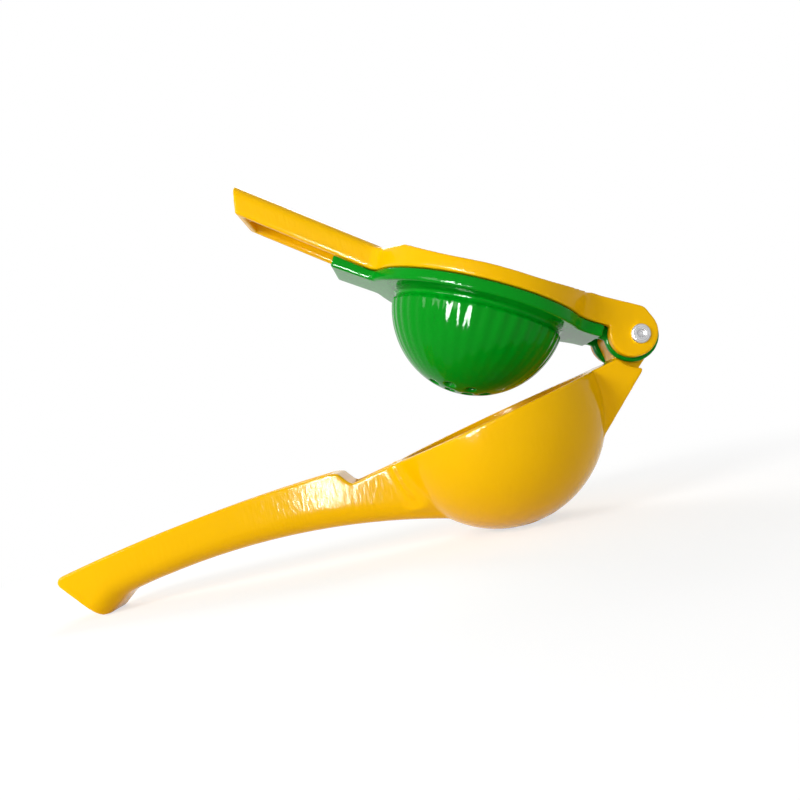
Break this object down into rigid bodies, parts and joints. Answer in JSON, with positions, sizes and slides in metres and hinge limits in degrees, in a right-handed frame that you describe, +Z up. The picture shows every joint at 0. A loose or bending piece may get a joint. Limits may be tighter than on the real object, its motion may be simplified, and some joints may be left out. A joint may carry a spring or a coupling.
{
  "type": "hinged lemon squeezer",
  "caption": "Hand lever squeezer: a lemon bowl with a long handle, a fluted lime cup and a press arm with a dome, all turning on one rivet.",
  "frame": {"origin": "on the floor, under the middle of the tool's box, as it lies open on its bowl and the foot of its long handle", "axes": "+X from the handles to the hinge, Y along the rivet, +Z up"},
  "size_m": [0.2193, 0.077, 0.136],
  "materials": {
    "yellow_enamel": "glossy yellow enamel baked on cast aluminium",
    "green_enamel": "glossy green enamel baked on cast aluminium",
    "rivet_steel": "plain rolled steel"
  },
  "bodies": {
    "lemon_bowl_arm": {"lemon_bowl_arm": "yellow_enamel"},
    "lime_cup_arm": {"lime_cup_arm": "green_enamel"},
    "press_arm": {"press_arm": "yellow_enamel", "hinge_rivet": "rivet_steel"}
  },
  "joints": [
    {"name": "lime_cup_hinge", "type": "hinge", "parent": "lemon_bowl_arm", "child": "lime_cup_arm", "pos_m": [0.10271, 0, 0.05709], "axis": [0, 1, 0], "range_deg": [-39, 81]},
    {"name": "press_hinge", "type": "hinge", "parent": "lime_cup_arm", "child": "press_arm", "pos_m": [0.10271, 0, 0.05709], "axis": [0, 1, 0], "range_deg": [0, 90]}
  ]
}
